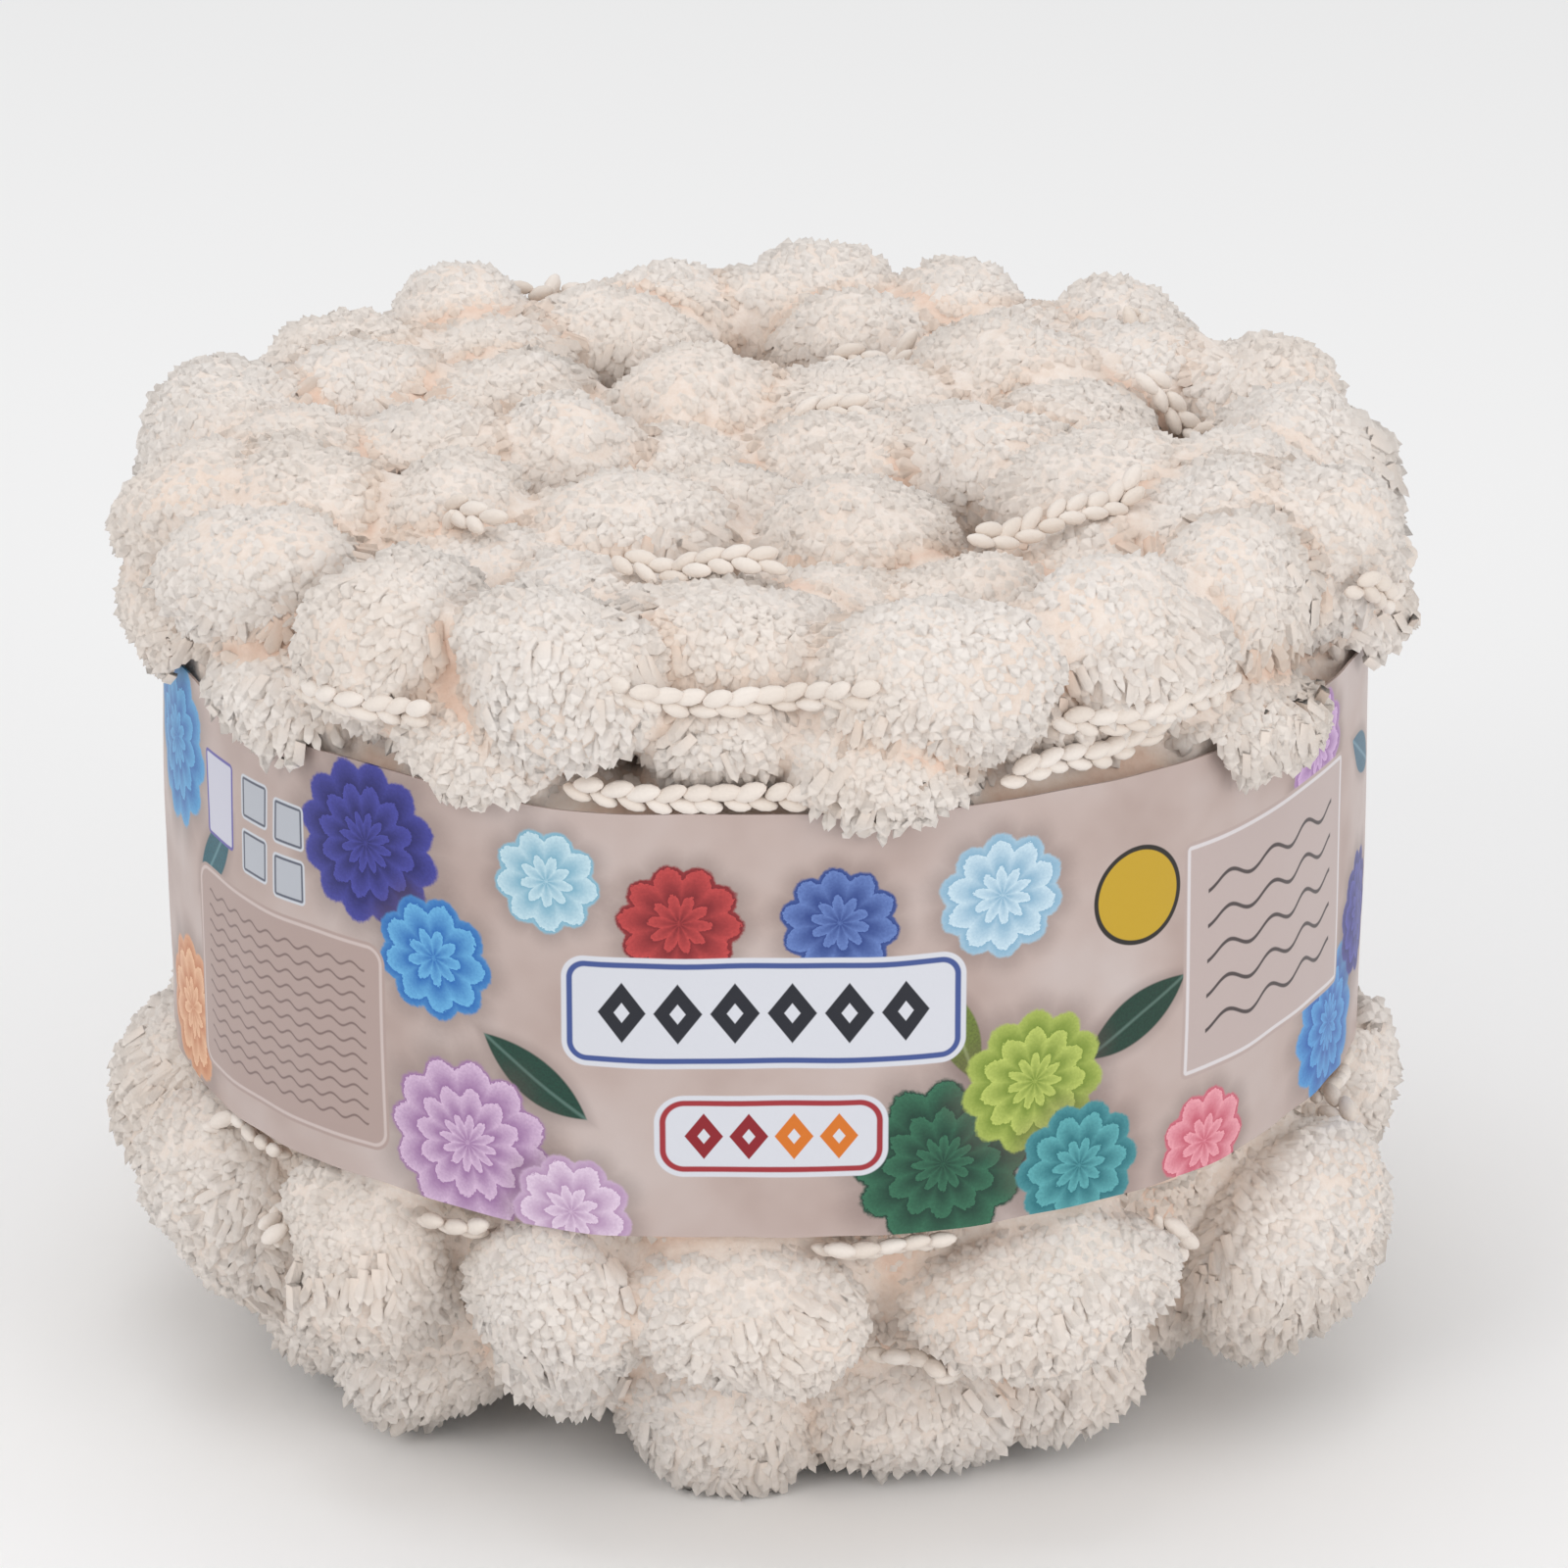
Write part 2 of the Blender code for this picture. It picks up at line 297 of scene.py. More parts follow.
def pile(pom, index):
    """The tufts of one pom that can be seen."""
    _, centre, axes, half = pom
    p = 1.6075
    a, b, c = half
    area = 4 * math.pi * (((a * b) ** p + (a * c) ** p + (b * c) ** p) / 3) ** (1 / p)
    coarse = UNDER_ROOM if "under" in pom[0] else 1.0
    n = int(area / (TUFT_ROOM * coarse))
    d = scattered(n)
    # tufts lean together in clumps, with clefts between the clumps
    swell, lean = lumps(d, index)
    normal = unit((d / half) @ axes)
    below = np.clip(0.5 - 0.9 * normal[:, 2], 0, 1)[:, None]
    swell = swell + chance.normal(0, 1, n) * (0.008 + 0.006 * below[:, 0])
    down = np.array([0, 0, -1.0]) + normal * normal[:, 2:3]
    lie = TUFT_LIE[0] + (TUFT_LIE[1] - TUFT_LIE[0]) * below
    aim = unit(0.8 * normal + lie * down + lean + chance.normal(0, 1, (n, 3)) * (0.09 + 0.08 * below))
    tip = centre + (d * half * (1.0 + swell)[:, None]) @ axes
    tip = tip + normal * crease(tip, index)[:, None]
    length = TUFT_LENGTH * chance.uniform(0.85, 1.15, n)
    # a pom that hangs over the band is thin there, so its tufts are short
    thin = in_band_room(tip - aim * 3.0)
    root = tip - aim * np.where(thin, 1.7, length)[:, None]
    look = tip - aim * 1.0
    keep = ~inside_core(look)
    for other, neighbour in enumerate(POMS):
        if other != index and np.linalg.norm(neighbour[1] - centre) < 45:
            keep &= ~inside_pom(look, neighbour, 0.95)
    keep &= ~in_band_room(look) & ~in_band_room(tip)
    keep &= (tip[:, 2] > -1.6) & (root[:, 2] > 1.3)
    width = (TUFT_WIDTH[0] + (TUFT_WIDTH[1] - TUFT_WIDTH[0]) * below[:, 0]) * math.sqrt(coarse) * chance.uniform(0.8, 1.18, n)
    bend = chance.normal(0, 1, (n, 3)) * (0.25 + 0.3 * below)
    tone = np.clip(0.5 + 0.2 * (chance.normal(0, 1, n)), 0, 1)
    facing = unit(normal - 0.5 * lean)
    # painted shade: how deep each tuft's tip lies in the hollows between poms, to darken its colour there
    hollow_shade = hollow(tip, index)
    return [column[keep] for column in (root, tip, width, bend, tone, hollow_shade, facing, normal)]


def between(skin, tips):
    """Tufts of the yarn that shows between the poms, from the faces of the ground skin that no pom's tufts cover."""
    count = len(skin.data.polygons)
    centre, normal, area = np.zeros(count * 3), np.zeros(count * 3), np.zeros(count)
    skin.data.polygons.foreach_get("center", centre)
    skin.data.polygons.foreach_get("normal", normal)
    skin.data.polygons.foreach_get("area", area)
    centre, normal, area = centre.reshape(-1, 3) / MM, normal.reshape(-1, 3), area / MM**2
    tree = KDTree(len(tips))
    for i, tip in enumerate(tips.tolist()):
        tree.insert(tip, i)
    tree.balance()
    bare = ~in_band_room(centre, below=2.0, above=0.4, inner=80.0)
    bare &= np.array([tree.find(point)[2] for point in centre.tolist()]) > TUFT_REACH
    centre, normal, area = centre[bare], normal[bare], area[bare]
    many = np.floor(area / TUFT_ROOM + chance.uniform(0, 1, len(area))).astype(int)
    centre, normal, spread = (np.repeat(column, many, axis=0) for column in (centre, normal, np.sqrt(area)))
    n = len(centre)
    shift = chance.uniform(-0.6, 0.6, (n, 3)) * spread[:, None]
    spot = centre + shift - normal * (shift * normal).sum(1)[:, None]
    lumps = np.sin(spot[:, 0] * 0.55 + 2.0 * np.sin(spot[:, 1] * 0.31)) + np.sin(spot[:, 1] * 0.6 + spot[:, 2] * 0.5)
    # where a pom is pressed flat its tufts lie on the floor
    flat = (centre[:, 2] < 1.6) & (normal[:, 2] < -0.5)
    stand = np.where(flat, 0.35, 1.0)[:, None]
    aim = unit(normal * stand + chance.normal(0, 1, (n, 3)) * np.where(flat, 0.8, 0.35)[:, None] + np.array([0, 0, -0.25]))
    tip = spot + aim * np.where(flat, 0.5, 1.0 + 0.4 * lumps + chance.normal(0, 0.2, n))[:, None]
    root = tip - aim * np.where(flat, 2.6, TUFT_LENGTH)[:, None]
    keep = ~in_band_room(tip) & ~in_band_room(tip - aim * 2.0)
    width = TUFT_WIDTH[1] * chance.uniform(0.8, 1.18, n)
    bend = chance.normal(0, 0.4, (n, 3))
    tone = np.clip(0.5 + 0.2 * chance.normal(0, 1, n), 0, 1)
    # painted shade: the tufts between the poms are coloured darker as in a hollow, those pressed flat on the floor are
    # not
    return [column[keep] for column in (root, tip, width, bend, tone, np.where(flat, 0.0, 0.55), normal, normal)]


def outsides(skin):
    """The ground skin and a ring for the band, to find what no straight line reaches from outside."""
    points = np.zeros(len(skin.data.vertices) * 3)
    skin.data.vertices.foreach_get("co", points)
    points = points.reshape(-1, 3) / MM
    faces = [tuple(face.vertices) for face in skin.data.polygons]
    turn = np.linspace(0, 2 * math.pi, 49)[:-1]
    ring = np.stack([(BAND_RADIUS + 0.5) * np.sin(turn), -(BAND_RADIUS + 0.5) * np.cos(turn)], 1)
    first = len(points)
    points = np.concatenate([points] + [np.hstack([ring, np.full((48, 1), level)]) for level in (BAND_BOTTOM + 1.5, BAND_TOP - 1.5)])
    for k in range(48):
        j = (k + 1) % 48
        faces.append((first + k, first + j, first + j + 48, first + k + 48))
    return BVHTree.FromPolygons(points.tolist(), faces)


def shaded_from_all_sides(rows, tree, rays=16):
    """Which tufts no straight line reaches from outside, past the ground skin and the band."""
    tip, normal = rows[1], rows[7]
    start = tip + normal * 0.4
    hidden = np.ones(len(tip), bool)
    dice = np.random.RandomState(5)
    for _ in range(rays):
        left = np.flatnonzero(hidden)
        way = unit(normal[left] * 0.9 + unit(dice.normal(0, 1, (len(left), 3))))
        for i, o, d in zip(left, start[left].tolist(), way.tolist()):
            if tree.ray_cast(o, d, 200.0)[0] is None:
                hidden[i] = False
    return hidden


def ground():
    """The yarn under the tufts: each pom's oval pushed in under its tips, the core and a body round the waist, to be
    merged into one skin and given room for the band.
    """
    work = bmesh.new()
    bmesh.ops.create_icosphere(work, subdivisions=4, radius=1.0)
    ball = np.array([v.co[:] for v in work.verts])
    ball_faces = np.array([[v.index for v in f.verts] for f in work.faces])
    work.free()
    points, faces, count = [], [], 0
    for index, (_, centre, axes, half) in enumerate(POMS):
        swell, _ = lumps(ball, index)
        out = centre + (ball * half * (1.0 + swell)[:, None]) @ axes
        normal = unit((ball / half) @ axes)
        below = np.clip(0.5 - 1.2 * normal[:, 2], 0, 1)
        depth = GROUND_DEPTH[0] + (GROUND_DEPTH[1] - GROUND_DEPTH[0]) * below
        points.append(out + normal * (0.85 * crease(out, index) - depth)[:, None])
        faces.append(ball_faces + count)
        count += len(ball)
    across = np.hypot(ball[:, 0], ball[:, 1])
    for radius, bottom, top, square in (
        (CORE_RADIUS, CORE_BOTTOM, CORE_TOP, CORE_SQUARENESS),
        (WAIST_RADIUS + 1.5, BAND_BOTTOM - 5.0, BAND_TOP + 3.0, 2 * CORE_SQUARENESS),
    ):
        size = (across**square + np.abs(ball[:, 2]) ** square) ** (-1 / square)
        uneven = 1.0 + 0.009 * np.sin(27 * ball[:, 0] + 2 * np.sin(19 * ball[:, 1])) + 0.009 * np.sin(25 * ball[:, 1] + 14 * ball[:, 2])
        body = ball * (size * uneven)[:, None] * np.array([radius, radius, (top - bottom) / 2])
        points.append(body + np.array([0.0, 0.0, (top + bottom) / 2]))
        faces.append(ball_faces + count)
        count += len(ball)
    return np.concatenate(points), np.concatenate(faces)


def applied(thing):
    """The object with its modifiers made final."""
    graph = bpy.context.evaluated_depsgraph_get()
    graph.update()
    done = bpy.data.meshes.new_from_object(thing.evaluated_get(graph))
    old = thing.data
    thing.modifiers.clear()
    thing.data = done
    bpy.data.meshes.remove(old)
    return thing


# ---- chain cord --------------------------------------------------------------------------
LINK_PITCH = 3.5
LINK_HALF = ((2.35, 1.2, 1.2), (2.15, 1.05, 1.05))  # of the row in front and the row behind it
LINK_SLANT = 17.0
CORD_COVER = 6.5  # a pom that stands this far above the cord hides it
CORD_LIFT = 1.3  # how far it lies above the poms it crosses
CORD_ROLL = 38.0  # degrees the two rows are rolled, so that one lies in front

CORD_COLUMNS = ("from bearing", "from radius", "from height", "to bearing", "to radius", "to height", "sag")
CORDS = (
    (-14, 82, 122.5, 9, 82, 122.0, 1.0),
    (-45, 84, 115.5, -30, 84, 116.0, 0.6),
    (27, 84, 116.5, 46, 83, 114.0, 1.0),
    (22, 85, 109.8, 38, 84, 112.0, 0.5),
    (-17, 85, 109.5, 4, 85, 109.2, 0.6),
    (-20, 56, 126.0, 2, 58, 126.0, 1.2),
    (34, 50, 125.0, 62, 58, 126.5, 1.0),
    (168, 17, 124.5, 128, 19, 125.0, 0.6),
    (-57, 54, 124.5, -44, 53, 124.0, 0.4),
    (112, 58, 125.5, 103, 74, 124.0, 0.6),
    (64, 86, 121.0, 72, 88, 116.0, 0.4),
    (169, 51, 126.0, 156, 52, 126.0, 0.5),
    (127, 66, 126.0, 135, 77, 125.0, 0.3),
    (-150, 80, 125.0, -163, 80, 126.0, 0.6),
    (-63, 83, 44.0, -53, 83, 43.5, 0.4),
    (-53, 83, 34.0, -46, 83, 39.5, 0.3),
    (-34, 83, 42.0, -27, 83, 43.0, 0.3),
    (5, 83, 44.0, 17, 83, 43.5, 0.5),
    (40, 84, 40.0, 44, 84, 33.0, 0.2),
    (11, 79, 26.0, 22, 79, 26.5, 0.5),
    (74, 84, 115.0, 86, 84, 115.0, 0.6),
    (97, 84, 113.0, 112, 84, 114.0, 0.8),
    (122, 84, 115.0, 136, 84, 115.5, 0.6),
    (146, 85, 112.0, 168, 85, 113.0, 0.8),
    (-170, 84, 115.0, -150, 84, 115.5, 0.8),
    (-140, 84, 113.0, -118, 84, 113.5, 0.8),
    (-112, 84, 115.0, -96, 84, 115.0, 0.6),
    (68, 83, 42.0, 80, 83, 42.0, 0.4),
    (98, 83, 40.0, 108, 83, 41.0, 0.4),
    (124, 83, 42.0, 132, 83, 40.0, 0.4),
    (150, 83, 42.5, 160, 83, 42.0, 0.4),
    (175, 83, 40.0, -176, 83, 41.0, 0.4),
    (-155, 83, 42.0, -146, 83, 42.0, 0.4),
    (-130, 83, 41.0, -120, 83, 42.0, 0.4),
    (-104, 83, 42.0, -94, 83, 41.0, 0.4),
)


def chain():
    """Links of the chain cord: two rows of plump slanting stitches, half a stitch apart."""
    work = bmesh.new()
    bmesh.ops.create_uvsphere(work, u_segments=8, v_segments=6, radius=1.0)
    bmesh.ops.triangulate(work, faces=work.faces)
    ball = np.array([v.co[:] for v in work.verts])[:, [2, 0, 1]]
    ball_faces = np.array([[v.index for v in f.verts] for f in work.faces])
    work.free()
    points, faces, tone, count = [], [], [], 0
    for row in CORDS:
        a0, r0, z0, a1, r1, z1, sag = row
        turn = (a1 - a0 + 180) % 360 - 180
        steps = np.linspace(0, 1, 60)
        bearing = np.radians(a0 + turn * steps)
        radius = r0 + (r1 - r0) * steps
        wander = chance.uniform(-0.7, 0.7)
        height = z0 + (z1 - z0) * steps - sag * np.sin(math.pi * steps) + wander * np.sin(2 * math.pi * steps)
        line = np.stack([radius * np.sin(bearing), -radius * np.cos(bearing), height], 1)
        if z0 > 118 and r0 < 78:
            out = np.tile(np.array([0, 0, 1.0]), (60, 1))
        else:
            out = unit(np.stack([line[:, 0], line[:, 1], 30.0 * np.sign(height - 80)], 1))
        # it lies on the pile it crosses, and goes under a pom that stands much higher
        lift = reach(line, out)
        lift = np.clip(np.where(lift < CORD_COVER, lift + CORD_LIFT, 0.0), 0.0, None)
        lift = np.convolve(np.pad(lift, 6, mode="edge"), np.ones(13) / 13, mode="valid")
        line = line + out * lift[:, None]
        run = np.concatenate([[0], np.cumsum(np.linalg.norm(np.diff(line, axis=0), axis=1))])
        spots = np.arange(LINK_PITCH / 4, run[-1], LINK_PITCH / 2)
        for i, s in enumerate(spots):
            centre = np.array([np.interp(s, run, line[:, k]) for k in range(3)])
            ahead = np.array([np.interp(s + 0.5, run, line[:, k]) for k in range(3)])
            back = np.array([np.interp(s - 0.5, run, line[:, k]) for k in range(3)])
            along = unit(ahead - back)
            up = np.array([np.interp(s, run, out[:, k]) for k in range(3)])
            up = unit(up - along * (up @ along))
            side = np.cross(up, along)
            if side[2] < -0.2:
                side = -side
            which = 1 if i % 2 else -1
            roll = math.radians(CORD_ROLL)
            side, up = math.cos(roll) * side + math.sin(roll) * up, math.cos(roll) * up - math.sin(roll) * side
            slant = math.radians(LINK_SLANT) * which + chance.normal(0, 0.1)
            lay = math.cos(slant) * along + math.sin(slant) * side
            wide = np.cross(up, lay)
            half = np.array(LINK_HALF[0 if which > 0 else 1]) * chance.uniform(0.9, 1.1, 3)
            place = centre + side * which * 1.0 + up * chance.uniform(-0.2, 0.2) + along * chance.normal(0, 0.15)
            taper = 1.0 - 0.18 * ball[:, 0:1] ** 2
            body = (ball * half) * np.hstack([np.ones_like(taper), taper, taper])
            points.append(place + body @ np.array([lay, wide, up]))
            faces.append(ball_faces + count)
            tone.append(np.full(len(ball), chance.uniform(0, 1)))
            count += len(ball)
    return np.concatenate(points), np.concatenate(faces), np.concatenate(tone)


# ---- materials -----------------------------------------------------------------------------
def linear(r, g, b):
    """A colour given in the usual 0 to 255 steps, for a shader."""
    return tuple(((c / 255 + 0.055) / 1.055) ** 2.4 if c > 10 else c / 255 / 12.92 for c in (r, g, b)) + (1.0,)


class Nodes:
    """A short way to lay out a material's nodes."""

    def __init__(self, name):
        self.material = bpy.data.materials.new(name)
        self.material.use_nodes = True
        self.tree = self.material.node_tree
        self.shader = self.tree.nodes["Principled BSDF"]

    def add(self, kind, **settings):
        node = self.tree.nodes.new(kind)
        for key, value in settings.items():
            setattr(node, key, value)
        return node

    def put(self, socket, value):
        if isinstance(value, bpy.types.NodeSocket):
            self.tree.links.new(value, socket)
        elif value is not None:
            socket.default_value = value

    def math(self, operation, a, b=None, c=None, clamp=False):
        node = self.add("ShaderNodeMath", operation=operation, use_clamp=clamp)
        for socket, value in zip(node.inputs, (a, b, c)):
            self.put(socket, value)
        return node.outputs[0]

    def mix(self, share, a, b, blend="MIX"):
        node = self.add("ShaderNodeMix", data_type="RGBA", blend_type=blend)
        self.put(node.inputs[0], share)
        self.put(node.inputs[6], a)
        self.put(node.inputs[7], b)
        return node.outputs[2]

    def noise(self, place, scale, detail=2.0, roughness=0.5):
        node = self.add("ShaderNodeTexNoise")
        self.put(node.inputs["Vector"], place)
        node.inputs["Scale"].default_value = scale
        node.inputs["Detail"].default_value = detail
        node.inputs["Roughness"].default_value = roughness
        return node.outputs["Fac"]

    def ramp(self, value, stops):
        node = self.add("ShaderNodeValToRGB")
        self.put(node.inputs[0], value)
        ramp = node.color_ramp
        while len(ramp.elements) < len(stops):
            ramp.elements.new(0.5)
        for element, (at, colour) in zip(ramp.elements, stops):
            element.position = at
            element.color = colour
        return node.outputs[0]

    def smooth(self, value, low, high, to_low=0.0, to_high=1.0):
        node = self.add("ShaderNodeMapRange", interpolation_type="SMOOTHSTEP")
        self.put(node.inputs[0], value)
        for socket, number in zip(node.inputs[1:5], (low, high, to_low, to_high)):
            self.put(socket, number)
        return node.outputs[0]

    def attribute(self, name):
        return self.add("ShaderNodeAttribute", attribute_name=name).outputs["Fac"]

    def bump(self, height, strength, distance):
        node = self.add("ShaderNodeBump")
        node.inputs["Strength"].default_value = strength
        node.inputs["Distance"].default_value = distance
        self.put(node.inputs["Height"], height)
        self.put(self.shader.inputs["Normal"], node.outputs[0])

    def place(self, kind="Object"):
        return self.add("ShaderNodeTexCoord").outputs[kind]


# painted shade: darker, warmer colour in the hollows between poms and at the tufts' roots, lightening to the open tips
PILE_SHADE_RAMP = [(0.0, linear(235, 206, 188)), (0.35, linear(239, 222, 209)), (0.7, linear(241, 231, 223)), (1.0, linear(241, 235, 230))]


def pile_material():
    n = Nodes("cut_pile")
    along = n.attribute("pile")
    tone = n.attribute("tone")
    place = n.place()
    # painted shade: darker, warmer colour at the tufts' roots and in the hollows between poms
    colour = n.ramp(along, PILE_SHADE_RAMP)
    shade = n.ramp(tone, [(0.0, linear(248, 246, 244)), (0.5, linear(252, 251, 250)), (1.0, linear(255, 255, 255))])
    colour = n.mix(1.0, colour, shade, "MULTIPLY")
    broad = n.smooth(n.noise(place, 26.0, 3.0), 0.35, 0.65)
    colour = n.mix(broad, colour, n.mix(1.0, colour, linear(252, 249, 246), "MULTIPLY"))
    n.put(n.shader.inputs["Base Color"], colour)
    n.shader.inputs["Roughness"].default_value = 0.78
    n.shader.inputs["Specular IOR Level"].default_value = 0.25
    n.shader.inputs["Sheen Weight"].default_value = 0.35
    n.shader.inputs["Sheen Roughness"].default_value = 0.45
    n.shader.inputs["Sheen Tint"].default_value = linear(255, 248, 240)
    fine = n.noise(place, 2600.0, 2.0, 0.6)
    n.bump(fine, 0.16, 0.0004)
    return n.material


def ground_material():
    n = Nodes("pile_ground")
    place = n.place()
    grain = n.noise(place, 620.0, 3.0, 0.6)
    # painted shade: the ground is darker and warmer deep in the hollows between poms
    colour = n.ramp(n.attribute("pile"), PILE_SHADE_RAMP)
    colour = n.mix(1.0, colour, n.ramp(grain, [(0.3, linear(246, 240, 235)), (0.7, linear(255, 255, 255))]), "MULTIPLY")
    n.put(n.shader.inputs["Base Color"], colour)
    n.shader.inputs["Roughness"].default_value = 0.9
    n.shader.inputs["Sheen Weight"].default_value = 0.3
    n.bump(grain, 0.35, 0.0008)
    return n.material


def cord_material():
    n = Nodes("chain_cord")
    tone = n.attribute("tone")
    place = n.place()
    colour = n.ramp(tone, [(0.0, linear(230, 218, 207)), (1.0, linear(240, 231, 223))])
    n.put(n.shader.inputs["Base Color"], colour)
    n.shader.inputs["Roughness"].default_value = 0.62
    n.shader.inputs["Specular IOR Level"].default_value = 0.35
    n.shader.inputs["Sheen Weight"].default_value = 0.25
    n.shader.inputs["Sheen Roughness"].default_value = 0.4
    n.bump(n.noise(place, 2200.0, 2.0), 0.3, 0.0003)
    return n.material


# ---- the paper band and its print ------------------------------------------------------------
# Fluffy blossoms with layered petals, leaves, plain plaques and a dot. Places are millimetres along the band from the middle of its front, and up from its lower edge.
BLOSSOM_COLUMNS = ("along", "up", "size", "petals", "layers", "turn", "deep", "light")
BLOSSOMS = (
    (-108, 50, 13.0, 11, 3.0, 0.3, (14, 92, 170), (96, 176, 224)),
    (-104, 10, 11.0, 10, 2.6, 1.4, (196, 120, 76), (240, 196, 158)),
    (-57, 50, 12.0, 12, 3.0, 0.9, (28, 26, 96), (72, 74, 168)),
    (-46, 36, 9.0, 9, 2.4, 0.2, (22, 98, 178), (110, 184, 230)),
    (-41, 10, 12.5, 12, 3.2, 0.5, (150, 106, 156), (220, 192, 220)),
    (-26, 3, 8.5, 9, 2.4, 1.1, (176, 140, 178), (230, 210, 230)),
    (-29, 51, 7.5, 9, 2.2, 0.6, (120, 172, 196), (200, 226, 236)),
    (-11, 46, 8.5, 10, 2.2, 0.4, (120, 26, 34), (196, 70, 70)),
    (10, 46, 8.0, 10, 2.2, 1.0, (34, 60, 130), (104, 132, 196)),
    (24, 10, 12.5, 12, 3.2, 0.1, (12, 54, 42), (52, 112, 84)),
    (37, 20, 10.5, 11, 2.8, 0.8, (112, 136, 40), (190, 204, 104)),
    (44, 6, 9.5, 10, 2.6, 0.0, (22, 104, 116), (96, 176, 182)),
    (32, 48, 9.0, 10, 2.4, 1.3, (128, 172, 200), (206, 228, 240)),
    (66, 4, 8.0, 9, 2.2, 0.4, (196, 84, 106), (240, 168, 180)),
    (93, 53, 8.5, 10, 2.4, 0.7, (150, 104, 162), (216, 182, 222)),
    (100, 9, 12.0, 12, 3.0, 0.2, (16, 84, 170), (92, 168, 226)),
    (115, 21, 9.5, 10, 2.6, 1.0, (30, 28, 104), (84, 84, 176)),
)
# Leaves: along, up, half length, half width, turn, colour
LEAVES = (
    (-92, 38, 9.0, 3.0, 0.9, (40, 112, 128)),
    (-31, 22, 9.0, 3.2, -0.6, (26, 78, 62)),
    (53, 26, 9.5, 3.4, 0.5, (26, 72, 56)),
    (26, 29, 8.0, 2.8, 1.9, (128, 148, 60)),
    (116, 45, 8.5, 3.0, -0.5, (60, 120, 150)),
)
# Plain plaques: along, up, half width, half height, corner, border, fill and border colours
PLAQUES = (
    (0, 33, 27.0, 8.0, 3.4, 0.8, (214, 216, 224), (64, 84, 146)),
    (1, 15, 15.5, 6.0, 4.0, 0.8, (214, 216, 224), (160, 44, 52)),
    (-76, 20, 22.0, 15.5, 3.0, 0.5, (178, 157, 151), (206, 190, 186)),
    (-90, 47, 4.2, 6.4, 0.8, 0.5, (104, 96, 168), (206, 206, 220)),
    (-80, 50, 3.3, 3.3, 0.8, 0.4, (206, 210, 218), (92, 96, 110)),
    (-72, 49, 3.3, 3.3, 0.8, 0.4, (206, 210, 218), (92, 96, 110)),
    (-80, 42, 3.3, 3.3, 0.8, 0.4, (206, 210, 218), (92, 96, 110)),
    (-72, 41, 3.3, 3.3, 0.8, 0.4, (206, 210, 218), (92, 96, 110)),
    (82, 32, 21.0, 17.5, 1.2, 0.6, (186, 167, 162), (220, 214, 216)),
)
# Waving lines that fill a plaque: along, up, half width, half height, pitch, thickness, colour
WAVES = (
    (-76, 20, 18.5, 12.5, 2.3, 0.35, (128, 108, 104)),
    (82, 32, 16.5, 13.5, 5.2, 0.6, (74, 64, 64)),
)
# Rows of lozenges: along, up, half width, pitch, half height, colours of its left and right half
LOZENGES = (
    (0, 33, 22.5, 7.5, 4.4, (30, 32, 42), (30, 32, 42)),
    (1, 15, 11.9, 5.95, 3.4, (140, 22, 34), (214, 116, 30)),
)
# Round dots: along, up, radius, rim, fill and rim colours
DOTS = ((53, 44, 7.2, 0.7, (196, 160, 36), (36, 32, 28)),)
REPEAT = 265.4  # the same print comes once more on the back half


